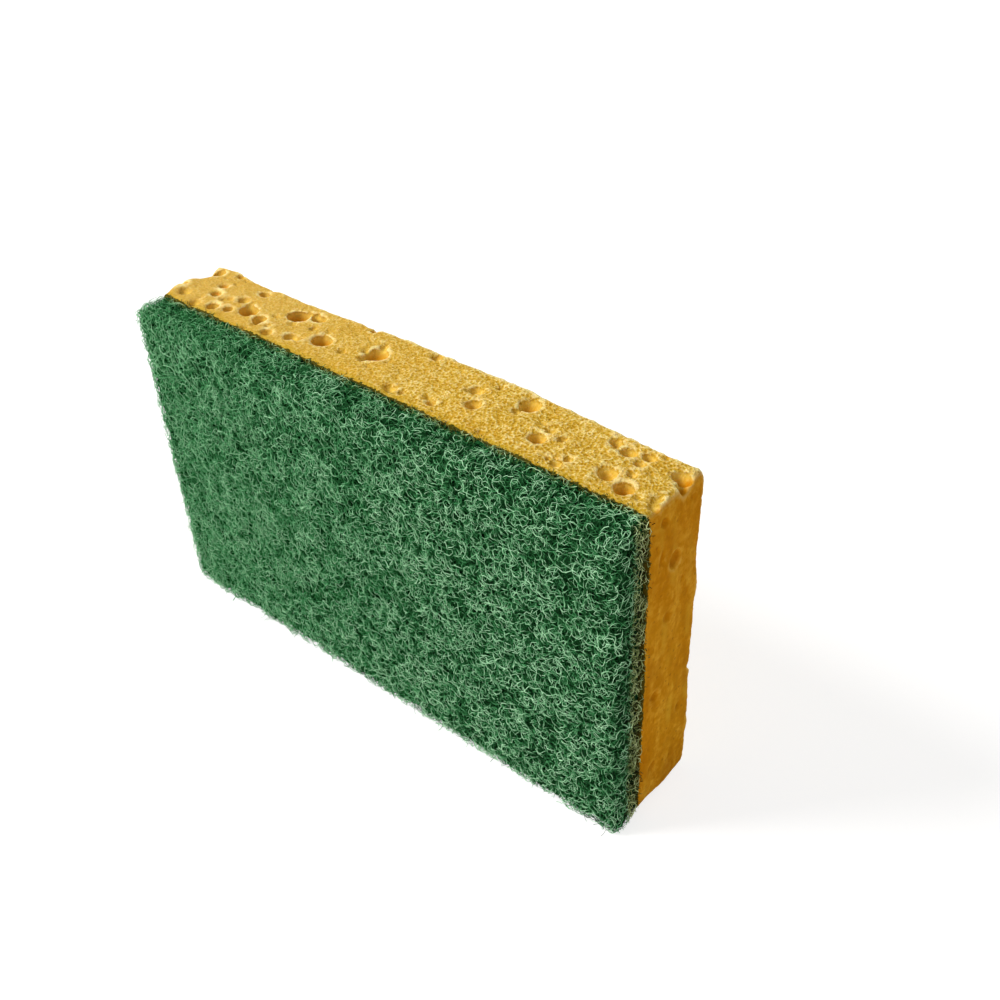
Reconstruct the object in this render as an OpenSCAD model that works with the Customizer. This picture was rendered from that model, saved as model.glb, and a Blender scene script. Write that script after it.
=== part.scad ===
// Sponge scourer: a cellulose block with a nonwoven fibre pad bonded to one broad face.
// It stands on its long edge. Origin: centre of the base. X runs along the length, Y through the
// thickness from the pad's worked face to the block's broad face, Z up.

/* [Outline] */
// Length of the sponge
sponge_length = 109; // [80:1:150]
// Height of the sponge, standing on its long edge
sponge_height = 65; // [45:1:90]
// Radius of the four corners of the outline, cut through both layers together
corner_radius = 1.5; // [0.6:0.1:3]

/* [Layers] */
// Thickness of the cellulose block
block_thickness = 15; // [11:0.5:26]
// Thickness of the fibre pad
pad_thickness = 7; // [4:0.5:10]

/* [Pores of the block] */
// Radius of the smallest pore
pore_least = 0.9; // [0.7:0.1:1.2]
// Radius of the largest pore
pore_most = 2.3; // [1.8:0.1:2.8]
// Distance between pores on the two long sawn faces
edge_pitch = 10; // [7:0.5:14]
// Distance between pores on the two ends
end_pitch = 11; // [8:0.5:15]
// Distance between pores on the broad face
broad_pitch = 20; // [15:0.5:28]
// Number that picks one arrangement of the pores
pore_seed = 11; // [1:1:60]

/* [Web of the pad] */
// Depth of the hollows in the worked face
web_hollow = 0.8; // [0.2:0.1:1.4]
// Distance from one hollow to the next
web_wave = 15; // [9:0.5:24]
// Radius of the worked face's rim along the two long edges
rim_radius = 1.8; // [0.8:0.1:2.5]
// Radius of the worked face's rim at the two ends, where the cut pulls it down
end_radius = 3; // [0.8:0.1:3.5]
// Distance between the lines of the grid that carries the worked face
web_pitch = 5; // [2.5:0.5:7]

/* [Hidden] */

PORE_SIDES = 13;
CORNER_SIDES = 32;
// A pore's centre lies this share of its radius under the face, from the least to the most.
SAWN_SINK = [-0.15, 0.45];
END_SINK = [-0.8, -0.35];
BROAD_SINK = [-0.62, -0.1];
// Share of a pitch by which a pore may leave the middle of its cell.
PORE_STRAY = 0.42;
// Shares of the edge zone at which the worked face's grid has extra lines, from the edge inwards.
EDGE_STEPS = [0, 0.1, 0.3, 0.6, 1];
// Faces are told apart by these steps from the seed.
TOP = 1;
BASE = 2;
RIGHT = 3;
LEFT = 4;
BROAD = 5;

thickness = pad_thickness + block_thickness;
seam_y = pad_thickness - thickness / 2;
broad_y = thickness / 2;
worked_y = -thickness / 2;
block_mid_y = (seam_y + broad_y) / 2;
edge_zone = max(corner_radius, rim_radius);
end_zone = max(corner_radius, end_radius);

// The largest pores of the upper sawn face: [end, distance from that end, distance from the seam,
// radius, sink]. The end is -1 on the left and 1 on the right. The last two have broken out at the edge.
landmark_pores = [
    [-1, 3, 3, 1.0, 0.1],
    [-1, 7.5, 1.5, 1.0, 0.1],
    [-1, 8.5, 6, 1.2, 0.2],
    [-1, 7.5, 9, 1.1, 0.1],
    [-1, 11.5, 2.5, 1.3, 0.3],
    [-1, 12, 6, 0.9, 0.1],
    [-1, 14.5, 3.5, 1.0, 0.45],
    [-1, 14.5, 7.5, 1.1, 0.1],
    [-1, 16, 12, 1.2, 0.3],
    [-1, 18, 5.5, 1.8, 0.35],
    [-1, 22, 4.5, 1.4, 0.3],
    [-1, 26.5, 2, 1.2, 0.2],
    [-1, 31, 3.5, 1.2, 0.2],
    [1, 14.5, 12.5, 1.2, 0.2],
    [1, 11.5, 11.5, 1.4, 0.2],
    [1, 11, 5, 1.8, -0.1],
    [1, 8.5, 10, 1.1, 0.1],
    [1, 8, 7, 0.9, 0.2],
    [1, 7, 3.5, 1.6, 0.4],
    [1, 8.3, 12.6, 1.2, 0.2],
    [1, 1.8, 11.3, 1.6, 0.2],
    [1, 0.2, 9.3, 1.3, 0.3]
];
// A sawn face gets no scattered pore nearer than this to a landmark pore.
landmark_clearance = 5;

// Position of cell i of n along a side of this length, moved by a share of the cell
function in_cell(i, n, side, stray) = (i + 0.5 + stray) * side / n - side / 2;

// Many small pores and a few large ones: share runs from 0 to 1
function pore_radius(share) = pore_least * pow(pore_most / pore_least, pow(share, 2));

// Pores spread over a face as [u, v, height of the centre over the face, radius], one to a cell
function scattered_pores(width, depth, pitch, sink, face) =
    let (
        across = max(1, round(width / pitch)),
        along = max(1, round(depth / pitch)),
        many = across * along,
        first_seed = pore_seed * 40 + face * 4,
        stray_u = rands(-PORE_STRAY, PORE_STRAY, many, first_seed),
        stray_v = rands(-PORE_STRAY, PORE_STRAY, many, first_seed + 1),
        shares = rands(0, 1, many, first_seed + 2),
        sinks = rands(sink[0], sink[1], many, first_seed + 3)
    )
    [
        for (i = [0 : across - 1], j = [0 : along - 1])
            let (k = i * along + j, r = pore_radius(shares[k]))
            [in_cell(i, across, width, stray_u[k]), in_cell(j, along, depth, stray_v[k]), -sinks[k] * r, r]
    ];

// A landmark pore in the same form as a scattered one, on the upper face
function landmark(p) = [
    p[0] * (sponge_length / 2 - p[1]),
    seam_y + p[2] - block_mid_y,
    -p[4] * p[3],
    p[3]
];

function apart(p, others) =
    len([for (o = others) if (norm([p[0] - o[0], p[1] - o[1]]) < landmark_clearance) 1]) == 0;

// The outline that both layers are cut to, standing on the X axis
module outline() {
    translate([-sponge_length / 2, 0]) {
        translate([corner_radius, 0])
            square([sponge_length - 2 * corner_radius, sponge_height]);
        translate([0, corner_radius])
            square([sponge_length, sponge_height - 2 * corner_radius]);
        for (x = [corner_radius, sponge_length - corner_radius])
            for (z = [corner_radius, sponge_height - corner_radius])
                translate([x, z]) circle(r = corner_radius, $fn = CORNER_SIDES);
    }
}

module pores(list) {
    for (p = list)
        translate([p[0], p[1], p[2]]) sphere(r = p[3], $fn = PORE_SIDES);
}

// The upper sawn face, with its landmark pores and the scattered ones that keep clear of them
module top_pores() {
    landmarks = [for (p = landmark_pores) landmark(p)];
    scattered = scattered_pores(sponge_length, block_thickness, edge_pitch, SAWN_SINK, TOP);
    translate([0, block_mid_y, sponge_height]) {
        pores(landmarks);
        pores([for (p = scattered) if (apart(p, landmarks)) p]);
    }
}

module base_pores() {
    translate([0, block_mid_y, 0])
        rotate([180, 0, 0])
            pores(scattered_pores(sponge_length, block_thickness, edge_pitch, SAWN_SINK, BASE));
}

// Shallow pores in the face at one end: side is -1 on the left and 1 on the right
module end_pores(side, face) {
    translate([side * sponge_length / 2, block_mid_y, sponge_height / 2])
        rotate([0, side * 90, 0])
            pores(scattered_pores(sponge_height, block_thickness, end_pitch, END_SINK, face));
}

// Shallow dished pores in the broad face
module broad_pores() {
    translate([0, broad_y, sponge_height / 2])
        rotate([-90, 0, 0])
            pores(scattered_pores(sponge_length, sponge_height, broad_pitch, BROAD_SINK, BROAD));
}

module cellulose_block() {
    color([0.90, 0.72, 0.36])
        difference() {
            translate([0, broad_y, 0])
                rotate([90, 0, 0])
                    linear_extrude(block_thickness) outline();
            top_pores();
            base_pores();
            end_pores(1, RIGHT);
            end_pores(-1, LEFT);
            broad_pores();
        }
}

// Lines of the worked face's grid across a side: close together in the zones at both edges, even between
function grid_lines(side, zone) =
    let (
        near = [for (share = EDGE_STEPS) share * zone],
        steps = max(2, round((side - 2 * zone) / web_pitch)),
        inner = [for (i = [1 : steps - 1]) zone + i * (side - 2 * zone) / steps],
        far = [for (i = [len(near) - 1 : -1 : 0]) side - near[i]]
    )
    concat(near, inner, far);

// How far a quarter round of this radius has still to go at this distance from where it starts
function quarter_fall(radius, distance) =
    distance >= radius ? 0 : radius - sqrt(pow(radius, 2) - pow(radius - distance, 2));

// Depth of the worked face's hollows: three crossed waves, cut off flat where the web is pressed level
function hollow_depth(x, z) =
    let (
        slanted = sin(360 * (x + 0.4 * z) / web_wave),
        steep = sin(360 * (z - 0.3 * x) / (0.8 * web_wave)),
        short = sin(360 * (0.7 * x - z) / (0.53 * web_wave))
    )
    web_hollow * max(0, (1 + slanted + steep + short) / 4);

// A corner of the worked face, with x and z measured from the pad's lower left corner
function worked_corner(x, z) =
    let (
        from_end = min(x, sponge_length - x),
        from_edge = min(z, sponge_height - z),
        half = sponge_length / 2,
        narrowed = 1 - quarter_fall(corner_radius, from_edge) / half,
        rounding = quarter_fall(end_radius, from_end) + quarter_fall(rim_radius, from_edge)
    )
    [
        (x - half) * narrowed,
        worked_y + max(min(max(rim_radius, end_radius), rounding), hollow_depth(x, z)),
        z
    ];

// The pad: a grid of corners over the worked face, flat side walls, and one flat face on the seam
module scouring_pad() {
    xs = grid_lines(sponge_length, end_zone);
    zs = grid_lines(sponge_height, edge_zone);
    nx = len(xs);
    nz = len(zs);
    function at(i, j) = i * nz + j;
    worked = [for (x = xs, z = zs) worked_corner(x, z)];
    cells = [
        for (i = [0 : nx - 2], j = [0 : nz - 2])
            [at(i, j), at(i, j + 1), at(i + 1, j + 1), at(i + 1, j)]
    ];
    // The rim in order, seen from the worked side: along the base, up, back along the top and down
    rim = concat(
        [for (i = [0 : nx - 2]) at(i, 0)],
        [for (j = [0 : nz - 2]) at(nx - 1, j)],
        [for (i = [nx - 1 : -1 : 1]) at(i, nz - 1)],
        [for (j = [nz - 1 : -1 : 1]) at(0, j)]
    );
    count = len(rim);
    seam = [for (r = rim) [worked[r].x, seam_y, worked[r].z]];
    seam_middle = [0, seam_y, sponge_height / 2];
    function behind(k) = nx * nz + k % count;
    walls = [
        for (k = [0 : count - 1])
            [rim[k], rim[(k + 1) % count], behind(k + 1), behind(k)]
    ];
    back = [for (k = [0 : count - 1]) [behind(k), behind(k + 1), nx * nz + count]];
    color([0.28, 0.52, 0.36])
        polyhedron(points = concat(worked, seam, [seam_middle]), faces = concat(cells, walls, back));
}

cellulose_block();
scouring_pad();
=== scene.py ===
# %% [markdown]
# # A cleaning sponge, dressed
# The sponge is two things bonded face to face: a block of yellow cellulose foam full of bubbles, and a pad
# of curly green fibres. The measured model gives both at their real size, standing on the long edge. This
# lesson keeps that frame and gives the two layers their look: pores and grain on the block, a real tangle of
# fibres on the pad.

# %% Load the measured model
import math

import bmesh
import bpy
import numpy as np
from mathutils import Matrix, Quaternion, Vector
from mathutils.bvhtree import BVHTree


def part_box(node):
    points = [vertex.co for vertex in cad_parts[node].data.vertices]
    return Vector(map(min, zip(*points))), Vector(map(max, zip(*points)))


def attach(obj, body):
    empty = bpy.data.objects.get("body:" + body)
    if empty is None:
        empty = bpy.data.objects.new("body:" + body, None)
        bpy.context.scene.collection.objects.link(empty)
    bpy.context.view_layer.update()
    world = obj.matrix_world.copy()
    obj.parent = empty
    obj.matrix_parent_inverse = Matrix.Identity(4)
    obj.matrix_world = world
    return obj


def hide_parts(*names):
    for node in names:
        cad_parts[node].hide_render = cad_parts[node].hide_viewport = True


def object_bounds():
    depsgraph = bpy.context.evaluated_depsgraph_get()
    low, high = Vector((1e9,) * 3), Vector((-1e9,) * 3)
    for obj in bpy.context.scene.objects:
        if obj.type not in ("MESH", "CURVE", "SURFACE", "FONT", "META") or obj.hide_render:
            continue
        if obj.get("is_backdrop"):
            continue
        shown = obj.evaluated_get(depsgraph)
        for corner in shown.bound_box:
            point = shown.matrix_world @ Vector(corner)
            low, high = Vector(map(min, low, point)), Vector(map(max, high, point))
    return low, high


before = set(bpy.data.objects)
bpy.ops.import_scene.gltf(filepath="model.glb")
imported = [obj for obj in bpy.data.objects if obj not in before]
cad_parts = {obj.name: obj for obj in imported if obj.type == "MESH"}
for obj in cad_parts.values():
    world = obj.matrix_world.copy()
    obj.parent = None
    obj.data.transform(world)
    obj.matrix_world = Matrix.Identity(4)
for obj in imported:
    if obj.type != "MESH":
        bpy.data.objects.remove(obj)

MM = 0.001
model_low, model_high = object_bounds()
block_low, block_high = (np.array(corner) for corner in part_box("cellulose_block"))
pad_low, pad_high = (np.array(corner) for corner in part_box("scouring_pad"))
print("block", block_low / MM, block_high / MM)
print("pad", pad_low / MM, pad_high / MM)

# %% [markdown]
# ## The camera
# The photograph looks down on the right-hand end from close by, so the near end is much larger than the far
# one. A camera could be placed by eye, but its place was worked out from the sponge's own corners instead:
# with the printed size known, only one place, direction and lens puts all of them where they are.

# %% Place the camera
CAMERA_PLACE = Vector((129.54, -119.18, 176.34)) * MM
CAMERA_LOOKS = Vector((-0.52396, 0.58590, -0.61821))
CAMERA_RIGHT = Vector((0.76526, 0.64249, -0.03968))
FOCAL_PIXELS = 1259.3
FRAME_PIXELS = 1000
SENSOR = 36.0

camera_data = bpy.data.cameras.new("photo_camera")
camera_data.sensor_width = SENSOR
camera_data.lens = FOCAL_PIXELS / FRAME_PIXELS * SENSOR
camera_data.clip_start = 1 * MM
camera = bpy.data.objects.new("photo_camera", camera_data)
bpy.context.scene.collection.objects.link(camera)
level = CAMERA_LOOKS.to_track_quat("-Z", "Y")
level_right = level @ Vector((1, 0, 0))
roll = level_right.cross(CAMERA_RIGHT).dot(CAMERA_LOOKS)
camera.rotation_mode = "QUATERNION"
camera.rotation_quaternion = Quaternion(CAMERA_LOOKS, math.asin(roll)) @ level
camera.location = CAMERA_PLACE
bpy.context.scene.camera = camera
print("lens", round(camera_data.lens, 2), "mm, roll", round(math.degrees(math.asin(roll)), 2), "degrees")

# %% [markdown]
# ## Small helpers
# Operators act on what is selected, and loading the model leaves it selected. So each step first clears the
# selection and takes up just the piece it works on. The helpers do that, put a modifier on a piece and
# apply it at once, as a maker would after looking at the result, and run an edit on the whole of a piece.

# %% Take up a piece, apply a modifier to it, or edit it whole
SKIN_WELD = 0.0005 * MM


def take_up(piece):
    bpy.ops.object.select_all(action="DESELECT")
    piece.select_set(True)
    bpy.context.view_layer.objects.active = piece


def modify(piece, kind, **settings):
    take_up(piece)
    modifier = piece.modifiers.new(kind.title(), kind)
    for name, value in settings.items():
        setattr(modifier, name, value)
    bpy.ops.object.modifier_apply(modifier=modifier.name)


def edit_whole(piece, operator, **settings):
    take_up(piece)
    bpy.ops.object.mode_set(mode="EDIT")
    bpy.ops.mesh.select_all(action="SELECT")
    operator(**settings)
    bpy.ops.object.mode_set(mode="OBJECT")


def placed(name, data):
    """A new object that holds this data."""
    thing = bpy.data.objects.new(name, data)
    bpy.context.scene.collection.objects.link(thing)
    return thing


def copy_of(node, name):
    """A free copy of a measured solid, with its loose triangles joined into one skin."""
    piece = placed(name, node.data.copy())
    piece.data.materials.clear()
    edit_whole(piece, bpy.ops.mesh.remove_doubles, threshold=SKIN_WELD)
    return piece


def triangles(piece):
    return sum(len(polygon.vertices) - 2 for polygon in piece.data.polygons)


# %% Read and move the corners of a piece
def corners(piece):
    points = np.empty(len(piece.data.vertices) * 3, np.float32)
    piece.data.vertices.foreach_get("co", points)
    return points.reshape(-1, 3).astype(float)


def set_corners(piece, points):
    piece.data.vertices.foreach_set("co", points.astype(np.float32).ravel())
    piece.data.update()


def facing(piece):
    """The outward direction at each corner."""
    directions = np.empty(len(piece.data.vertices) * 3, np.float32)
    piece.data.vertices.foreach_get("normal", directions)
    return directions.reshape(-1, 3)


def keep_above(piece, lowest):
    """Lifts the corners that lie lower than this height up to it."""
    points = corners(piece)
    points[:, 2] = np.maximum(points[:, 2], lowest)
    set_corners(piece, points)


def press(piece, place, reach, push):
    """Pushes the corners round a place, all in millimetres: most in the middle, not at all at the reach."""
    points = corners(piece)
    away = np.linalg.norm(points - np.array(place) * MM, axis=1) / (reach * MM)
    share = np.clip(1 - away**2, 0, 1) ** 2
    set_corners(piece, points + share[:, None] * np.array(push) * MM)


# %% [markdown]
# ## The pores of the block
# The foam is blown around thousands of bubbles, and sawing the block opens those that the saw meets. The
# measured model has the large ones. The smaller ones are cut here in the same way: one bubble is modelled, a
# slightly dented ball, and it is stamped over each face in many sizes, sunk by different amounts. The stamps
# are subtracted in two goes. On the ends and the broad face the bubbles are pressed long and shallow.

# %% Model one bubble
DENTED = (0.88, 1.0)
dice = np.random.default_rng(20)

bpy.ops.object.select_all(action="DESELECT")
bpy.ops.mesh.primitive_ico_sphere_add(subdivisions=2, radius=1)
bubble = bpy.context.active_object
bubble.name = "bubble"
dents = dice.uniform(*DENTED, len(bubble.data.vertices))
set_corners(bubble, corners(bubble) * dents[:, None])
bubble_corners = corners(bubble)
bubble_faces = np.array([polygon.vertices[:] for polygon in bubble.data.polygons])
bpy.data.objects.remove(bubble)
print("bubble of", len(bubble_faces), "faces")

# %% Scatter bubbles over a face
MOSTLY_SMALL = 2.2
LEAN = 0.25


def scatter(origin, side_u, side_v, outward, per_mm2, radii, sink, stretch):
    """Bubbles over the face spanned by two side vectors, as (centres, three scaled axes each)."""
    length_u, length_v = np.linalg.norm(side_u), np.linalg.norm(side_v)
    many = int(per_mm2 * length_u * length_v / MM**2)
    share = dice.uniform(0, 1, (many, 2))
    radius = radii[0] * (radii[1] / radii[0]) ** (dice.uniform(0, 1, many) ** MOSTLY_SMALL) * MM
    depth = dice.uniform(*sink, many) * radius
    centres = origin + share[:, :1] * side_u + share[:, 1:] * side_v - depth[:, None] * outward
    along = side_v / length_v
    longer = 1 + dice.uniform(0, stretch, many)
    lean = dice.normal(0, LEAN, many)
    across = side_u / length_u
    axis_a = along * np.cos(lean)[:, None] + across * np.sin(lean)[:, None]
    axis_b = across * np.cos(lean)[:, None] - along * np.sin(lean)[:, None]
    axes = np.stack([
        axis_a * (radius * longer)[:, None],
        axis_b * radius[:, None],
        np.broadcast_to(outward, centres.shape) * radius[:, None],
    ], axis=1)
    return centres, axes


def stamped(name, places):
    """One object that holds a copy of the bubble at each place."""
    centres = np.concatenate([centre for centre, _ in places])
    axes = np.concatenate([axis for _, axis in places])
    points = np.einsum("vk,nkc->nvc", bubble_corners, axes) + centres[:, None]
    flips = np.linalg.det(axes) < 0
    faces = bubble_faces[None] + (np.arange(len(centres)) * len(bubble_corners))[:, None, None]
    faces[flips] = faces[flips][:, :, ::-1]
    mesh = bpy.data.meshes.new(name)
    mesh.from_pydata(points.reshape(-1, 3).tolist(), [], faces.reshape(-1, 3).tolist())
    return placed(name, mesh)


# %% Cut the smaller pores
length, thickness, height = block_high - block_low
X, Y, Z = np.eye(3)
low = block_low
faces_of_block = {
    "top": (low + Z * height, X * length, Y * thickness, Z),
    "base": (low, X * length, Y * thickness, -Z),
    "right": (low + X * length, Y * thickness, Z * height, X),
    "left": (low, Y * thickness, Z * height, -X),
    "broad": (low + Y * thickness, X * length, Z * height, Y),
}
# For each face: bubbles on a square millimetre, radii in mm, sink as shares of the radius, extra length.
end_plans = [(0.04, (0.4, 0.9), (-0.75, -0.25), 1.8), (0.05, (0.2, 0.4), (-0.4, 0.2), 1.2)]
pore_plans = {
    "top": [(0.10, (0.35, 1.0), (-0.2, 0.5), 0.5), (0.12, (0.25, 0.5), (-0.3, 0.3), 0.5)],
    "base": [(0.10, (0.35, 1.0), (-0.2, 0.5), 0.5)],
    "right": end_plans,
    "left": end_plans,
    "broad": [(0.05, (0.5, 1.5), (-0.85, -0.45), 0.9), (0.06, (0.25, 0.9), (-0.5, 0.3), 0.8)],
}
block = copy_of(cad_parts["cellulose_block"], "sponge_block")


def cut_bubbles(places):
    cutter = stamped("pore_cutter", places)
    modify(block, "BOOLEAN", operation="DIFFERENCE", solver="MANIFOLD", object=cutter)
    bpy.data.objects.remove(cutter)
    many = sum(len(centre) for centre, _ in places)
    print("pores cut:", many, "- block now", triangles(block), "triangles")


for number in range(2):
    cut_bubbles([scatter(*faces_of_block[face], *plans[number])
                 for face, plans in pore_plans.items() if number < len(plans)])

# %% [markdown]
# ## Crumbled edges
# Along an edge the saw opens bubbles from two sides at once, and the thin bridge between them breaks away. So
# the free edges are bitten: a row of bubbles is strung along each of them, some nearly whole, some just
# touching, and subtracted like the others.

# %% Bite the free edges
BITE_BAND = 1.6
LEAST_BITE = 0.4
BITE_SINK = (-0.8, -0.3)
BITE_STRETCH = 0.8
back = low + Y * thickness
# For each edge: where it starts, its run, the way it faces, bites on a millimetre and their largest radius.
free_edges = [
    (back + Z * height, X * length, Y + Z, 0.42, 1.1),
    (back, X * length, Y - Z, 0.42, 1.1),
    (low + X * length + Z * height, Y * thickness, X + Z, 0.5, 0.8),
    (low + Z * height, Y * thickness, Z - X, 0.25, 0.6),
    (back + X * length, Z * height, X + Y, 0.15, 0.6),
    (back, Z * height, Y - X, 0.2, 0.7),
]
bites = []
for start, run, slant, per_mm, largest in free_edges:
    outward = slant / math.sqrt(2)
    band = np.cross(run / np.linalg.norm(run), outward) * BITE_BAND * MM
    bites.append(scatter(start - band / 2, band, run, outward, per_mm / BITE_BAND, (LEAST_BITE, largest),
                         BITE_SINK, BITE_STRETCH))
cut_bubbles(bites)

# %% [markdown]
# ## The torn skin of the block
# Sawn foam is never quite flat: the faces swell and sink a little, the edges crumble, and the rims of the
# pores are soft. The block is remeshed to an even net of small squares, fine enough to hold the pores, and
# displaced three times over, by slow, middling and fine noise. The two finer ones belong to the torn skin
# alone, because the wall of a bubble is smooth, so a weight keeps them out of the pores, and weakens them on
# the ends and on the worn left half. The finish will need the same knowledge later, so each corner also
# remembers how deep it lay and which kind of face it belonged to.
#
# The bonded face is the one that has to stay flat. It is drawn out past the seam before the remeshing, which
# would round its edges, and sawn off at the seam when all the noise is on.

# %% Remesh the block and mark its skin
OVERHANG = 1.6 * MM
VOXEL = 0.40 * MM
FACE_BLEND = 0.8 * MM
SKIN_DEPTH = 0.7 * MM
SKIN_REACH = 1.4
CALMER_ENDS = 0.7
CALMER_LEFT = 0.45
WEIGHT_STEPS = 20


def overhang(piece, seam, side):
    """Draws the bonded face out past the seam. The side is 1 for the layer behind it, -1 in front."""
    points = corners(piece)
    bonded = np.abs(points[:, 1] - seam) < 0.01 * MM
    points[bonded, 1] -= side * OVERHANG
    set_corners(piece, points)


def mark(piece, name, values):
    """Stores a number on every corner, for the finish to read."""
    attribute = piece.data.attributes.new(name, "FLOAT", "POINT")
    attribute.data.foreach_set("value", np.asarray(values, np.float32))


def weigh(piece, name, shares):
    """Stores a share on every corner as a weight, for a modifier to read."""
    group = piece.vertex_groups.new(name=name)
    steps = np.round(np.clip(shares, 0, 1) * WEIGHT_STEPS).astype(int)
    for step in range(1, WEIGHT_STEPS + 1):
        group.add(np.flatnonzero(steps == step).tolist(), step / WEIGHT_STEPS, "REPLACE")


overhang(block, block_low[1], 1)
modify(block, "REMESH", mode="VOXEL", voxel_size=VOXEL, use_smooth_shade=True)
modify(block, "SMOOTH", factor=0.5, iterations=2)
points = corners(block)
from_end = block_high[0] - np.abs(points[:, 0])
from_broad = block_high[1] - points[:, 1]
from_sawn = np.minimum(points[:, 2], block_high[2] - points[:, 2])
depth = np.minimum(np.minimum(from_end, from_broad), from_sawn)
skin_share = np.clip(SKIN_REACH - depth / SKIN_DEPTH, 0, 1)
end_share = np.clip(0.5 + (np.minimum(from_broad, from_sawn) - from_end) / FACE_BLEND, 0, 1)
sawn_share = np.clip(0.5 + (np.minimum(from_broad, from_end) - from_sawn) / FACE_BLEND, 0, 1)
mark(block, "depth_mm", depth / MM)
mark(block, "end_face", end_share)
mark(block, "sawn_face", sawn_share)
worn = np.clip(0.5 - points[:, 0] / length, 0, 1)
weigh(block, "torn_skin", skin_share * (1 - CALMER_ENDS * end_share) * (1 - CALMER_LEFT * worn))
print("corners:", len(points), "- on the skin:", int((skin_share > 0.5).sum()))

# %% Swell and roughen the block
THIN_BEND = 2.5
# Two dents and a swelling at the upper left corner: place, reach and push, in millimetres.
CORNER_PUSHES = [
    ((-54.5, 5.8, 65), 3.2, (0.4, 0, -1.1)),
    ((-54.5, 0, 65), 4.5, (-0.3, 0, 0.8)),
    ((-49, 9.5, 65), 5.5, (0, 0.3, 0.5)),
]


def roughen(piece, name, size, detail, strength, level=0.5, weight=""):
    """Pushes the corners in and out by noise whose size and strength are given in millimetres."""
    texture = bpy.data.textures.new(name, "CLOUDS")
    texture.noise_scale = size * MM
    texture.noise_depth = detail
    texture.noise_basis = "ORIGINAL_PERLIN"
    modify(piece, "DISPLACE", texture=texture, strength=strength * MM, mid_level=level,
           texture_coords="LOCAL", vertex_group=weight)


def thin_out(piece, from_x, to_x, loss):
    """Thins the block from its broad side, more and more between two places along it, in millimetres."""
    points = corners(piece)
    share = np.clip((points[:, 0] / MM - from_x) / (to_x - from_x), 0, 1)
    share = share * share * (3 - 2 * share)
    across = np.clip((points[:, 1] - block_low[1]) / thickness, 0, 1) ** THIN_BEND
    points[:, 1] -= share * across * loss * MM
    set_corners(piece, points)


def cut_flat(piece, seam, side):
    """Saws the overhang of a layer off at the seam, which leaves one flat face there."""
    edit_whole(piece, bpy.ops.mesh.bisect, plane_co=(0, seam, 0), plane_no=(0, side, 0), use_fill=True,
               clear_inner=True)


roughen(block, "slow_swell", 8, 1, 0.9)
roughen(block, "crumble", 2.4, 2, 0.75, weight="torn_skin")
roughen(block, "grain", 0.8, 1, 0.34, weight="torn_skin")
thin_out(block, 5, -40, 1.9)
thin_out(block, 15, 50, 1.2)
for place, reach, push in CORNER_PUSHES:
    press(block, place, reach, push)
cut_flat(block, block_low[1], 1)
keep_above(block, 0)
print("block skin:", triangles(block), "triangles")

# %% [markdown]
# ## Rims and hollows
# The rim of a pore is painted pale as a highlight, and hollows are painted darker as shade. To find both, the
# block is compared with a smoothed copy of itself: where the real skin stands out of the smooth one there is
# a rim, and where it lies behind there is a hollow.

# %% Compare the block with a smoothed copy
RIM_PASSES = 14
smoothed = placed("smoothed_block", block.data.copy())
modify(smoothed, "SMOOTH", factor=0.5, iterations=RIM_PASSES)
crest = ((corners(block) - corners(smoothed)) * facing(block)).sum(axis=1) / MM
bpy.data.objects.remove(smoothed)
mark(block, "crest_mm", crest)
print("crests: least", crest.min().round(2), "most", crest.max().round(2), "spread", crest.std().round(3))

# %% [markdown]
# ## The body of the pad
# Behind its curls the pad is a dense dark felt. Its body starts as a copy of the measured slab, is remeshed,
# and is pitted inwards, so that the fibres in front have gaps to bridge and the gaps go dark by themselves.
# Where few fibres cover it, at the left end, at the base and along the seam, it keeps nearly its full size.

# %% Shrink and pit the body of the pad
CURL_DEPTH = 0.85 * MM
END_ROUNDING = 3 * MM
SPRUNG_BACK = 0.6
FELT_VOXEL = 0.72 * MM
FULL_EDGE = 3 * MM
FULL_BY_SEAM = 2.5 * MM
KEPT_FULL = 0.8
FELT_LEVEL = 0.6


def pad_copy(name):
    """A copy of the slab. Its left rim has sprung back, and its lower right corner is drawn to a point."""
    piece = copy_of(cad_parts["scouring_pad"], name)
    points = corners(piece)
    inward = np.clip(1 - (points[:, 0] - pad_low[0]) / END_ROUNDING, 0, 1)
    fall = (1 - np.sqrt(1 - inward**2)) * END_ROUNDING
    worked = points[:, 1] < pad_high[1] - 0.5 * MM
    points[worked, 1] -= fall[worked] * SPRUNG_BACK
    set_corners(piece, points)
    press(piece, (54.5, -10, 0), 4.5, (0.7, -0.5, -0.9))
    keep_above(piece, 0)
    return piece


felt = pad_copy("scouring_pad_felt")
overhang(felt, pad_high[1], -1)
modify(felt, "REMESH", mode="VOXEL", voxel_size=FELT_VOXEL, use_smooth_shade=True)
points = corners(felt)
outward = facing(felt)
open_side = points[:, 1] < pad_high[1] + OVERHANG - 0.4 * MM
at_base = np.clip(1 - (points[:, 2] - pad_low[2]) / FULL_EDGE, 0, 1)
at_left = np.clip(1 - (points[:, 0] - pad_low[0]) / FULL_EDGE, 0, 1)
on_top = np.clip(outward[:, 2] * 2, 0, 1)
by_seam = np.clip(1 - (pad_high[1] - points[:, 1]) / FULL_BY_SEAM, 0, 1) * on_top
shrink = CURL_DEPTH * (1 - KEPT_FULL * np.maximum(np.maximum(at_left, by_seam), at_base))
points[open_side] -= (outward * shrink[:, None])[open_side]
set_corners(felt, points)
roughen(felt, "felt_pits", 1.5, 1, 1.5, FELT_LEVEL)
roughen(felt, "felt_swell", 7, 1, 0.7, FELT_LEVEL)
keep_above(felt, 0.05 * MM)
cut_flat(felt, pad_high[1], -1)
print("felt:", triangles(felt), "triangles")

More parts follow.
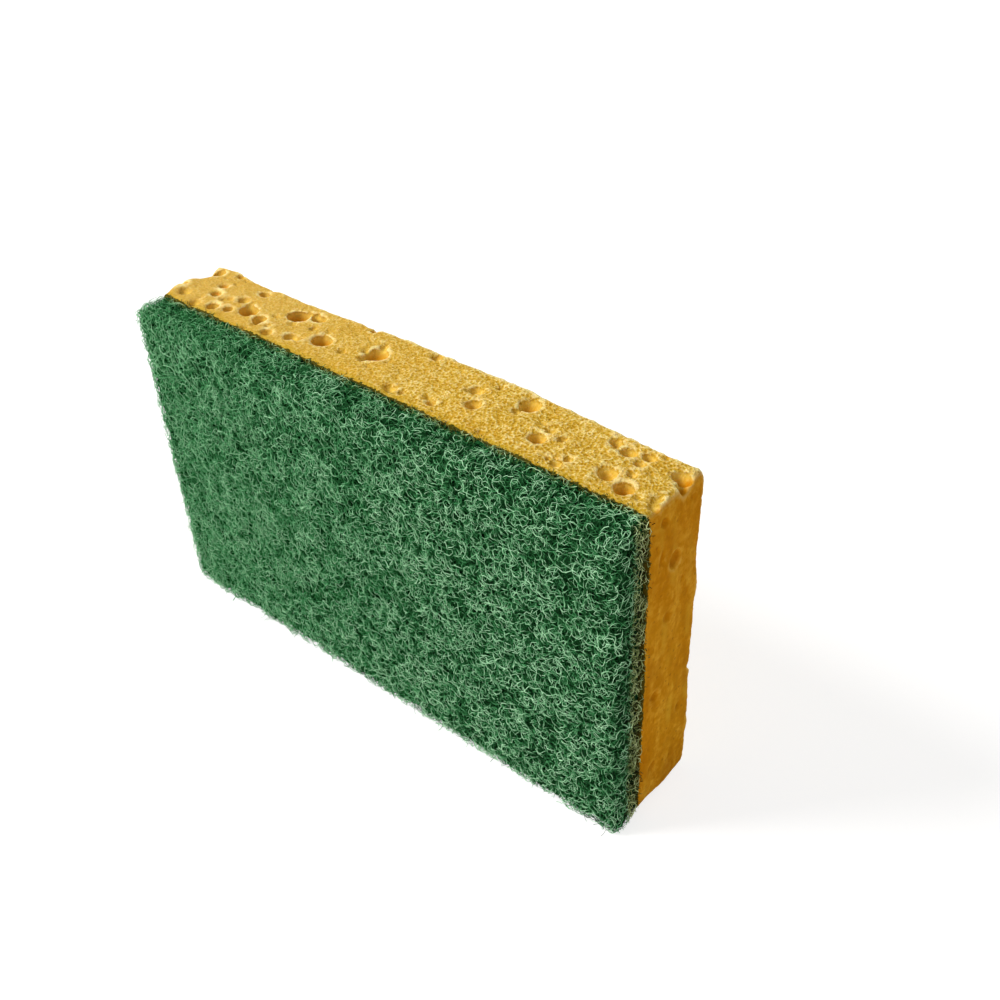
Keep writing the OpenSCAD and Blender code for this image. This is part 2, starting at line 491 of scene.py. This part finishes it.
# %% [markdown]
# ## The curls of the pad
# The web is made of coarse curly fibres thrown together at random and bonded where they touch. A texture
# can't give its frayed outline or its depth, so the fibres are real: thousands of fine tubes. Each one starts
# somewhere on the skin of the pad, sets off in a chance direction and keeps turning, rising and diving like a
# stitch, so that only its arches show. Now and then it kinks and turns the other way, and a few stray off.

# %% Find the skin of the pad
slab = pad_copy("slab_for_measuring")
slab_mesh = bmesh.new()
slab_mesh.from_mesh(slab.data)
skin = BVHTree.FromBMesh(slab_mesh)
slab_mesh.free()
bpy.data.objects.remove(slab)

span = pad_high - pad_low
SIDES = {
    "front": (pad_low, X * span[0], Z * span[2], -Y),
    "top": (pad_low + Z * span[2], X * span[0], Y * span[1], Z),
    "under": (pad_low, X * span[0], Y * span[1], -Z),
    "left": (pad_low, Y * span[1], Z * span[2], -X),
    "right": (pad_low + X * span[0], Y * span[1], Z * span[2], X),
}


def settle(point, above):
    """The point of the skin nearest to this one, raised above it, and the skin's outward direction there."""
    place, normal, _, _ = skin.find_nearest(point)
    return place + normal * above, normal


def fibres_for(side, per_mm2):
    """How many fibres a side of the pad gets."""
    _, side_u, side_v, _ = SIDES[side]
    return int(np.linalg.norm(side_u) * np.linalg.norm(side_v) / MM**2 * per_mm2)


# %% Walk the curls over the skin
CURLS_PER_MM2 = {"front": 1.85, "top": 1.3, "under": 0.3, "left": 1.0, "right": 1.2}
STEP = 0.62 * MM
CURL_POINTS = 8
LOWEST, HIGHEST = -0.8 * MM, 0.42 * MM
# Mean and spread, or least and most, of what each curl draws: heights in mm, turns and paces in radians.
MIDDLE = (-0.21, 0.22)
SWING = (0.12, 0.42)
PACE = (0.9, 1.9)
TURN = (0.30, 1.0)
WOBBLE = 0.28
STRAY_LIFT = (0.05, 0.45)
# Shares of the steps that kink and of the curls that stray, and the height under which none strays.
KINKS = 0.25
STRAYS = 0.015
STRAYS_ABOVE = 4 * MM


def walk_curl(start, stray):
    """One curl: its points, and how high each lies above the skin."""
    middle = dice.normal(*MIDDLE) * MM
    swing = dice.uniform(*SWING) * MM
    phase = dice.uniform(0, 2 * math.pi)
    pace = dice.uniform(*PACE)
    heading = Vector(dice.normal(0, 1, 3))
    turn = dice.choice([-1, 1]) * dice.uniform(*TURN)
    above = middle + swing * math.sin(phase)
    point, normal = settle(Vector(start), above)
    path = [point.copy()]
    heights = [above]
    for step in range(1, CURL_POINTS):
        heading = heading - normal * heading.dot(normal)
        heading.normalize()
        if dice.uniform() < KINKS:
            turn = -turn
        heading = Quaternion(normal, turn + dice.normal(0, WOBBLE)) @ heading
        point = point + heading * STEP
        if stray and step > CURL_POINTS // 2:
            point = point + normal * dice.uniform(*STRAY_LIFT) * MM
            above = HIGHEST
        else:
            above = min(max(middle + swing * math.sin(phase + pace * step), LOWEST), HIGHEST)
            point, normal = settle(point, above)
        path.append(point.copy())
        heights.append(above)
    return path, heights


curls = []
for side, (corner, side_u, side_v, _) in SIDES.items():
    for _ in range(fibres_for(side, CURLS_PER_MM2[side])):
        share = dice.uniform(0, 1, 2)
        start = corner + share[0] * side_u + share[1] * side_v
        curls.append(walk_curl(start, dice.uniform() < STRAYS and start[2] > STRAYS_ABOVE))
print("curls:", len(curls))

# %% [markdown]
# ## The cut ends
# Pads are stamped out of a long web, so on the four narrow sides every fibre ends in a cut. Seen from there
# the pad is a thicket of short stubs that point outwards at every slant, with dark gaps between them. Each
# stub grows from inside the slab to just past the cut. Some cross the seam and prick the foam, so that the
# seam isn't a ruled line.

# %% Grow the stubs on the cut sides
STUBS_PER_MM2 = {"top": 2.2, "under": 0.9, "left": 2.2, "right": 3.0}
CROSSING = {"top": 0.32, "under": 0.1, "left": 0.16, "right": 0.2}
STUB_POINTS = 4
STUB_STEP = 0.45 * MM
CUT_FROM_Y = pad_high[1] - 3.6 * MM
ROOTS = (0.6, 1.3)
STEADINESS = (0.25, 1.0)
SLANT = 0.6
BEND = 0.28


def grow_stub(start, outward):
    """A short bent fibre from inside the slab to its cut end."""
    heading = Vector(outward) * dice.uniform(*STEADINESS) + Vector(dice.normal(0, SLANT, 3))
    heading.normalize()
    path = [Vector(start) - Vector(outward) * dice.uniform(*ROOTS) * MM]
    bend = Vector(dice.normal(0, BEND, 3))
    for _ in range(1, STUB_POINTS):
        heading = (heading + bend).normalized()
        path.append(path[-1] + heading * STUB_STEP)
    heights = [(point - Vector(start)).dot(Vector(outward)) for point in path]
    return path, heights


stubs = []
for side, per_mm2 in STUBS_PER_MM2.items():
    corner, side_u, side_v, outward = SIDES[side]
    for _ in range(fibres_for(side, per_mm2)):
        share = dice.uniform(0.01, 0.99, 2)
        start = corner + share[0] * side_u + share[1] * side_v
        if dice.uniform() < CROSSING[side]:
            start[1] = pad_high[1] + dice.uniform(-0.6, 0.45) * MM
        elif side in ("left", "right"):
            start[1] = max(start[1], CUT_FROM_Y + dice.uniform(-0.4, 0.4) * MM)
        stubs.append(grow_stub(start, outward))
print("stubs:", len(stubs))

# %% [markdown]
# ## From paths to tubes
# A Curve object with a small round section turns paths into tubes by itself. A section of three corners is
# enough at this size, with smooth shading, and keeps thousands of fibres affordable. Each fibre keeps its own
# chance tone, and each of its points how high it lies, as attributes that the finish reads. The caps come
# loose, so they are welded on, which leaves each tube closed.

# %% Make the section of a fibre
FIBRE_RADIUS = 0.054 * MM
RING_CORNERS = 3
section_data = bpy.data.curves.new("fibre_section", "CURVE")
section_data.dimensions = "2D"
ring = section_data.splines.new("POLY")
ring.points.add(RING_CORNERS - 1)
for index in range(RING_CORNERS):
    angle = 2 * math.pi * index / RING_CORNERS
    ring.points[index].co = (math.cos(angle) * FIBRE_RADIUS, math.sin(angle) * FIBRE_RADIUS, 0, 1)
ring.use_cyclic_u = True
section = placed("fibre_section", section_data)

# %% Turn bundles of paths into tubes
CURL_BUNDLES = 4
WIDTHS = (0.65, 1.2)
CAP_WELD = 0.0002 * MM
CLEAR_OF_FLOOR = 1.2


def tubes(name, fibres):
    """One mesh of tubes, all with the same number of points, marked with their tone and height."""
    data = bpy.data.curves.new(name, "CURVE")
    data.dimensions = "3D"
    data.bevel_mode = "OBJECT"
    data.bevel_object = section
    data.use_fill_caps = True
    widths = dice.uniform(*WIDTHS, len(fibres))
    for (path, _), width in zip(fibres, widths):
        spline = data.splines.new("POLY")
        spline.points.add(len(path) - 1)
        flat = np.ones((len(path), 4))
        flat[:, :3] = path
        flat[:, 2] = np.maximum(flat[:, 2], FIBRE_RADIUS * CLEAR_OF_FLOOR)
        spline.points.foreach_set("co", flat.ravel())
        spline.points.foreach_set("radius", np.full(len(path), width))
    take_up(placed(name, data))
    bpy.ops.object.convert(target="MESH")
    piece = bpy.context.active_object
    bpy.ops.object.shade_smooth()
    tones = [np.full(len(path), dice.uniform()) for path, _ in fibres]
    heights = [np.array(heights) / MM for _, heights in fibres]
    for kind, values in (("tone", tones), ("height_mm", heights)):
        # The conversion lists both caps of each tube first, last tube first, and then the tubes themselves.
        caps = [value for along in reversed(values) for value in (along[-1], along[0])]
        mark(piece, kind, np.repeat(np.concatenate([caps, *values]), RING_CORNERS))
    edit_whole(piece, bpy.ops.mesh.remove_doubles, threshold=CAP_WELD)
    return piece


order = dice.permutation(len(curls))
bundles = [tubes(f"pad_curls_{number + 1}", [curls[k] for k in order[number::CURL_BUNDLES]])
           for number in range(CURL_BUNDLES)]
bundles.append(tubes("pad_cut_ends", stubs))
bpy.data.objects.remove(section)
for bundle in bundles:
    print(bundle.name, triangles(bundle), "triangles")

# %% [markdown]
# ## Shader arithmetic
# A material's masks are sums and products of textures. Written as nodes they take a line each, so a small
# class wraps a socket and lets Python's own operators add the Math nodes.


# %% Wrap a socket
def connect(tree, node, inputs):
    """Gives a node's inputs their values: a wire is linked, anything else is set."""
    for name, value in inputs.items():
        if isinstance(value, Wire):
            tree.links.new(value.socket, node.inputs[name])
        else:
            node.inputs[name].default_value = value


class Wire:
    """A socket in a shader tree. Arithmetic on it adds Math nodes, and node() adds any other."""

    def __init__(self, tree, socket=None):
        self.tree, self.socket = tree, socket

    def node(self, kind, settings=None, inputs=None, output=0):
        node = self.tree.nodes.new(kind)
        for name, value in (settings or {}).items():
            setattr(node, name, value)
        connect(self.tree, node, inputs or {})
        return Wire(self.tree, node.outputs[output])

    def math(self, operation, first, second=0.0):
        return self.node("ShaderNodeMath", {"operation": operation}, {0: first, 1: second})

    def __add__(self, other):
        return self.math("ADD", self, other)

    def __sub__(self, other):
        return self.math("SUBTRACT", self, other)

    def __rsub__(self, other):
        return self.math("SUBTRACT", other, self)

    def __mul__(self, other):
        return self.math("MULTIPLY", self, other)

    __radd__ = __add__
    __rmul__ = __mul__

    def most(self, other):
        return self.math("MAXIMUM", self, other)

    def absolute(self):
        return self.math("ABSOLUTE", self)

    def between(self, start, end):
        """0 below start, 1 above end, and a soft step from one to the other."""
        return self.node("ShaderNodeMapRange", {"interpolation_type": "SMOOTHSTEP"},
                         {"Value": self, "From Min": start, "From Max": end})

    def vector(self, operation, other):
        return self.node("ShaderNodeVectorMath", {"operation": operation}, {0: self, 1: other})

    def part(self, axis):
        return self.node("ShaderNodeSeparateXYZ", {}, {0: self}, "XYZ".index(axis))

    def marked(self, name):
        """A number that was stored on the corners."""
        return self.node("ShaderNodeAttribute", {"attribute_name": name}, output=2)

    def noise(self, size, detail=2.0, roughness=0.5, warp=0.0):
        """Noise whose features are about this many millimetres across, on coordinates in millimetres."""
        return self.node("ShaderNodeTexNoise", {}, {
            "Vector": self, "Scale": 1 / size, "Detail": detail, "Roughness": roughness, "Distortion": warp})

    def cells(self, size):
        """How far the nearest of many scattered points is, on coordinates in millimetres."""
        return self.node("ShaderNodeTexVoronoi", {"feature": "F1"}, {"Vector": self, "Scale": 1 / size})

    def ramp(self, *stops):
        """The colour that this value has on a ramp of (place, colour) stops."""
        node = self.tree.nodes.new("ShaderNodeValToRGB")
        while len(node.color_ramp.elements) < len(stops):
            node.color_ramp.elements.new(1)
        for element, (place, colour) in zip(node.color_ramp.elements, stops):
            element.position, element.color = place, (*colour, 1)
        connect(self.tree, node, {0: self})
        return Wire(self.tree, node.outputs[0])

    def tint(self, colour, share):
        """This colour mixed towards another by a share."""
        other = colour if isinstance(colour, Wire) else (*colour, 1)
        return self.node("ShaderNodeMix", {"data_type": "RGBA"}, {0: share, 6: self, 7: other}, 2)

    def tinted(self, tints):
        """This colour with named tints laid over it in turn, each a colour and its share."""
        result = self
        for colour, share in tints.values():
            result = result.tint(colour, share)
        print("tinted:", ", ".join(tints))
        return result


def new_finish(name):
    """An empty material, its shader, and the place on the object in millimetres."""
    material = bpy.data.materials.new(name)
    material.use_nodes = True
    tree = material.node_tree
    place = Wire(tree).node("ShaderNodeTexCoord", output=3)
    in_mm = place.node("ShaderNodeVectorMath", {"operation": "SCALE"}, {0: place, "Scale": 1 / MM})
    return material, tree.nodes["Principled BSDF"], in_mm


def bump(height, strength, depth):
    return height.node("ShaderNodeBump", {}, {"Strength": strength, "Distance": depth * MM, "Height": height})


# %% [markdown]
# ## The finish of the foam
# Dry cellulose is matt and takes its colour from depth. The torn grains of a sawn face are pale straw with
# golden pits between them. The ends are smooth, and their deep gold is painted shade, the warm colour of a
# shaded end. The inside of a pore is painted orange, as painted shade and as the light bounced in the yellow
# foam. So three colour ramps are laid out, one for each kind of face, and the marks that each corner carries
# mix them. Towards the far left end the foam is worn: paler and less grained on top, and its end has less of
# the painted shade, so it is more like the broad face.

# %% Lay out the foam's masks
foam, shader, mm = new_finish("cellulose_foam")
depth = mm.marked("depth_mm")
sawn = mm.marked("sawn_face")
end = mm.marked("end_face")
crest = mm.marked("crest_mm")
behind_seam = mm.part("Y") - float(block_low[1] / MM)
far = 1 - mm.part("X").between(float(block_low[0] / MM), float(block_high[0] / MM) * 0.4)
left = 1 - mm.part("X").between(-10, 10)
upper = mm.part("Z").between(15, 60)
wall = depth.between(0.25, 0.8)
bottom = depth.between(0.7, 2.1)

# The sawn faces are rough, so only strong crests count there; on the others faint ones do too.
# Painted highlight on rims and painted shade in hollows, found from the crests.
rim = crest.between(0.03, 0.16) * behind_seam.between(1.2, 2.6)
hollow = (0 - crest).between(0.03, 0.22)
faint_rim = crest.between(0.012, 0.07)
faint_hollow = (0 - crest).between(0.008, 0.06)

grains = mm.cells(0.55).between(0.2, 0.75)
fine = mm.noise(0.34, detail=2, roughness=0.6).between(0.3, 0.7)
middling = mm.noise(1.7, detail=2)
slow = mm.noise(11, detail=2)
blots = mm.noise(6.5, detail=1)
torn = grains * 0.42 + fine * 0.36 + middling * 0.3 - 0.04
torn = torn + (0.56 - torn) * far * 0.5
smooth = (mm.noise(0.9, detail=3, roughness=0.6) * 0.6 + middling * 0.4).between(0.3, 0.7)

# %% Colour the sawn and the broad faces
sawn_colour = torn.ramp(
    (0.12, (0.39, 0.185, 0.004)), (0.36, (0.53, 0.305, 0.022)),
    (0.62, (0.65, 0.420, 0.068)), (0.92, (0.90, 0.74, 0.32)))
sawn_colour = sawn_colour.tinted({"worn left": ((0.56, 0.345, 0.090), far * 0.45)})
broad_colour = (torn * 0.75 + smooth * 0.25).ramp(
    (0.12, (0.50, 0.225, 0.006)), (0.5, (0.74, 0.44, 0.070)), (0.9, (0.93, 0.72, 0.31)))
broad_colour = broad_colour.tinted({
    "amber blots": ((0.64, 0.30, 0.012), blots.between(0.56, 0.72) * 0.45),
    "pale blots": ((0.92, 0.72, 0.31), (1 - blots.between(0.30, 0.46)) * 0.35),
})

# %% Colour the ends, with marks drawn out along Z
drawn = mm.vector("MULTIPLY", (1, 1, 0.3))
streaks = drawn.noise(2.4, detail=2, roughness=0.5).between(0.3, 0.7)
specks = (1 - mm.cells(1.5).between(0.10, 0.22)) * slow.between(0.35, 0.6)
# Painted shade: the deep gold of the ends stands for the shade they lie in. They are also darker towards the
# top.
end_colour = (smooth * 0.45 + streaks * 0.4 + torn * 0.2).ramp(
    (0.0, (0.42, 0.150, 0.002)), (0.5, (0.56, 0.225, 0.004)), (1.0, (0.78, 0.41, 0.034)))
end_colour = end_colour.tinted({
    "brown specks": ((0.26, 0.07, 0.001), specks * 0.75),
    "gold streaks": ((0.66, 0.36, 0.025), drawn.noise(3.6, detail=1).between(0.54, 0.66) * 0.5),
    "deep streaks": ((0.42, 0.145, 0.001), drawn.noise(4.4, detail=1).between(0.56, 0.68) * 0.5),
    "deeper upper half": ((0.44, 0.150, 0.001), upper * 0.32),
    "left end with less painted shade": (broad_colour, left * 0.7),
})

# %% Mix them by face, and tint pores, rims and hollows
flank = (1 - sawn) * (1 - end)
rust = mm.noise(3.0, detail=1).between(0.66, 0.72) * wall
colour = broad_colour.tint(sawn_colour, sawn).tint(end_colour, end)
colour = colour.tinted({
    "pore walls": ((0.74, 0.50, 0.080), wall * (1 - end) * 0.7),
    # Painted highlight on the rims and painted shade in the hollows, on each kind of face.
    "rims": ((0.92, 0.78, 0.36), rim * (1 - end * 0.45) * 0.75),
    "hollows": ((0.56, 0.30, 0.010), hollow * (1 - end) * (1 - wall) * 0.6),
    "broad face's hollows": ((0.50, 0.22, 0.004), faint_hollow * flank * 0.65),
    "broad face's rims": ((0.95, 0.80, 0.42), faint_rim * flank * 0.45),
    "ends' hollows": ((0.42, 0.140, 0.001), faint_hollow * end * 0.55),
    "ends' rims": ((0.72, 0.38, 0.035), faint_rim * end * 0.45),
    # Painted shade and bounced light: the bottoms of the pores are painted deep orange.
    "pore bottoms": ((0.57, 0.250, 0.003), bottom * 0.9),
    "rust": ((0.66, 0.15, 0.01), rust * 0.7),
    "slow blots": ((0.60, 0.30, 0.014), slow.between(0.45, 0.75) * 0.25),
})

# %% [markdown]
# ## The bonding line
# Along the seam the bonding coat has soaked into the foam and left a thin, dark line, ragged where noise
# shifts the distance from the seam. The foam is matt, a little translucent, and rough where it is torn.

# %% Stain the bonding line and set the foam's shader
ragged = behind_seam - mm.noise(0.9, detail=3, roughness=0.7) * 2.2
soaked = 1 - ragged.between(-0.9, 0.6)
stain = (1 - ragged.between(-1.05, -0.85)).most(1 - behind_seam.between(0.01, 0.06))
colour = colour.tinted({
    "soaked foam": ((0.52, 0.33, 0.016), soaked * (1 - end) * 0.55),
    "bonding line": ((0.016, 0.030, 0.004), stain * 0.9),
})
relief = (torn * sawn + (torn * 0.35 + smooth * 0.5) * (1 - sawn)) * (1 - wall * 0.7) * (1 - end * 0.45)
connect(foam.node_tree, shader, {
    "Base Color": colour,
    "Roughness": 0.78 + torn * 0.17,
    "Normal": bump(relief, 1.0, 0.20),
    "Specular IOR Level": 0.02,
    "Subsurface Weight": 0.15,
    "Subsurface Radius": (1.0, 0.55, 0.15),
    "Subsurface Scale": 0.9 * MM,
})
block.data.materials.clear()
block.data.materials.append(foam)

# %% [markdown]
# ## The finish of the fibres
# The fibres are dyed plastic, a little glossy, and no two are quite the same green. Where an arch of one
# stands proud it is painted pale sage green, and where it dives under others it is painted deep bottle green,
# as painted shade, so its height counts as much as its chance tone. Towards the left the greens are lightened
# and lie closer together: painted light, for the brighter left of the pad. Along the seam and at the right
# end the fibres turn black and olive on a colour ramp of their own: foam dust and the bonding coat along the
# seam, darker towards it, and painted shade at the shaded right end.

# %% Make the fibres' finish
strands, shader, mm = new_finish("green_fibres")
half_length, seam_at, pad_top = (float(value / MM) for value in pad_high)
tone = mm.marked("tone")
# Painted shade: how high a point lies makes it pale where an arch is proud and dark where it dives.
raised = mm.marked("height_mm").between(-0.65, 0.35)
patch = mm.noise(7, detail=2)
# Painted light: the left of the pad is lightened, and its greens are drawn closer together.
painted_light_left = 1 - mm.part("X").between(-half_length, half_length)
shade = tone * 0.38 + raised * 0.58 + patch * 0.16
shade = shade + (0.66 - shade) * painted_light_left * 0.68
green = shade.ramp(
    (0.0, (0.0002, 0.005, 0.0005)), (0.40, (0.002, 0.050, 0.008)),
    (0.60, (0.070, 0.335, 0.118)), (0.90, (0.50, 0.86, 0.54)))

before_seam = seam_at - mm.part("Y")
# Darker towards the seam.
near_seam = 1 - (before_seam + mm.noise(1.1, detail=2) * 2.6 - 1.1).between(0.0, 0.9)
at_seam = 1 - before_seam.between(0.1, 1.8)
at_cut = 1 - (before_seam + mm.noise(1.2) * 1.2).between(3.4, 4.6)
# Painted shade: the right end of the pad, which lies in shade, turns olive and black; the left end stays
# green.
shaded_right_end = (1 - (half_length - mm.part("X")).between(0.3, 1.5)) * at_cut
dust_and_shade = (at_seam * 0.6).most(near_seam).most(shaded_right_end * 0.95)
olive = (tone * 0.42 + raised * 0.58 - near_seam * 0.34).ramp(
    (0.1, (0.003, 0.005, 0.0001)), (0.32, (0.030, 0.040, 0.004)),
    (0.52, (0.27, 0.33, 0.10)), (0.82, (0.78, 0.90, 0.46)))
dust = at_seam * mm.part("Z").between(pad_top - 1.4, pad_top - 0.2)
dressed = green.tinted({
    "olive": (olive, dust_and_shade),
    "foam dust": ((0.30, 0.24, 0.03), dust * mm.noise(0.9).between(0.45, 0.6) * 0.7),
})
connect(strands.node_tree, shader, {
    "Base Color": dressed,
    "Roughness": 0.42 + patch * 0.2,
    "Specular IOR Level": 0.09,
})
for bundle in bundles:
    bundle.data.materials.append(strands)

# %% [markdown]
# ## The finish of the felt
# What shows between the fibres is more of the same fibres, further down, and its colour is painted dark as
# their shade. Contour lines of a smooth noise are closed curly lines, just like fibres seen from above, so a
# few sets of them laid over each other give the felt its tangle, in colour and as a bump.

# %% Make the felt's finish
felt_finish, shader, mm = new_finish("green_felt")
tangle = None
for size, shift in ((1.5, 0.0), (1.2, 31.0), (1.8, 67.0), (1.0, 97.0), (1.3, 131.0)):
    field = mm.vector("ADD", (shift, shift, shift)).noise(size, detail=1.0, warp=0.4)
    line = 1 - (field - 0.5).absolute().between(0.008, 0.05)
    tangle = line if tangle is None else tangle.most(line)
# Painted shade: the felt is kept far darker than the fibres above it.
dark = (tangle * 0.8 + mm.noise(5, detail=2) * 0.25).ramp(
    (0.0, (0.0001, 0.002, 0.0004)), (0.6, (0.002, 0.028, 0.006)), (1.0, (0.03, 0.16, 0.05)))
connect(felt_finish.node_tree, shader, {
    "Base Color": dark,
    "Roughness": 0.85 - tangle * 0.2,
    "Normal": bump(tangle, 0.8, 0.18),
    "Specular IOR Level": 0.0,
})
felt.data.materials.clear()
felt.data.materials.append(felt_finish)

# %% [markdown]
# ## Floor and light
# The photograph has a plain white ground and one soft light from the left, in front and above: the top is
# bright, the pad middling and the right end in shade. A large soft lamp gives that, with a weak, wider one
# opposite so that the shade keeps its warm colour, and a low one behind that grazes the broad face and shows
# its relief. The floor is white paper; seen by the camera it glows a little, more so further out, so that it
# reads as white up to the edges of the picture while the sponge's shadow stays.

# %% Lay the floor
FLOOR_SIZE = 6
GLOW_FROM, GLOW_TO = 0.3, 1.5
WHITE = (1, 1, 1, 1)
bpy.ops.object.select_all(action="DESELECT")
bpy.ops.mesh.primitive_plane_add(size=FLOOR_SIZE)
floor = bpy.context.active_object
floor.name = "floor"
paper = bpy.data.materials.new("white_paper")
paper.use_nodes = True
tree = paper.node_tree
tree.nodes.clear()
wire = Wire(tree)
seen = wire.node("ShaderNodeLightPath")
spot = wire.node("ShaderNodeTexCoord", output=3)
far_out = wire.node("ShaderNodeVectorMath", {"operation": "LENGTH"}, {0: spot}, 1)
far_out = far_out.between(GLOW_FROM, GLOW_TO)
glow = wire.node("ShaderNodeEmission", {}, {"Color": far_out * 0.26 + 0.74, "Strength": 1.0})
matt = wire.node("ShaderNodeBsdfDiffuse", {}, {"Color": (0.80, 0.80, 0.80, 1)})
dimmer = wire.node("ShaderNodeBsdfDiffuse", {}, {"Color": (0.38, 0.38, 0.38, 1)})
glowing = wire.node("ShaderNodeAddShader", {}, {0: dimmer, 1: glow})
mixed = wire.node("ShaderNodeMixShader", {}, {0: seen, 1: matt, 2: glowing})
connect(tree, tree.nodes.new("ShaderNodeOutputMaterial"), {"Surface": mixed})
floor.data.materials.append(paper)
floor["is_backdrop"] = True

# %% Hang the lamps and light the room
LAMPS_AIM = (0, 0, 0.03)
ROOM_LIGHT, SEEN_LIGHT = 0.30, 0.70
# Each lamp: its place and size in metres, its watts and its colour.
LAMPS = {
    "key_lamp": ((-0.56, -0.46, 0.70), 0.35, 11.0, (1.0, 0.985, 0.96)),
    "fill_lamp": ((0.7, -0.5, 0.45), 0.8, 1.85, (1.0, 0.95, 0.84)),
    "back_lamp": ((0.0, 0.85, 0.16), 0.3, 3.0, (1.0, 0.98, 0.95)),
}
for name, (place, size, watts, lamp_colour) in LAMPS.items():
    data = bpy.data.lights.new(name, "AREA")
    data.shape = "DISK"
    data.size = size
    data.energy = watts
    data.color = lamp_colour
    light = placed(name, data)
    light.location = place
    light.rotation_euler = (Vector(LAMPS_AIM) - Vector(place)).to_track_quat("-Z", "Y").to_euler()

world = bpy.data.worlds.new("studio")
bpy.context.scene.world = world
world.use_nodes = True
tree = world.node_tree
seen = Wire(tree).node("ShaderNodeLightPath")
connect(tree, tree.nodes["Background"], {"Color": WHITE, "Strength": ROOM_LIGHT + seen * SEEN_LIGHT})
bpy.context.scene.view_settings.view_transform = "Standard"
print("lamps:", ", ".join(LAMPS))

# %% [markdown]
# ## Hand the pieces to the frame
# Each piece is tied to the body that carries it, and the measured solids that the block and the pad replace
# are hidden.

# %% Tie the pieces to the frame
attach(block, "root")
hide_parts("cellulose_block")
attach(felt, "root")
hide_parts("scouring_pad")
for bundle in bundles:
    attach(bundle, "root")

# %% Measure the dressed sponge
bpy.context.view_layer.update()
dressed_low, dressed_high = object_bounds()
size = {
    "cad": [list(model_low), list(model_high)],
    "visual": [list(dressed_low), list(dressed_high)],
}
print(size)
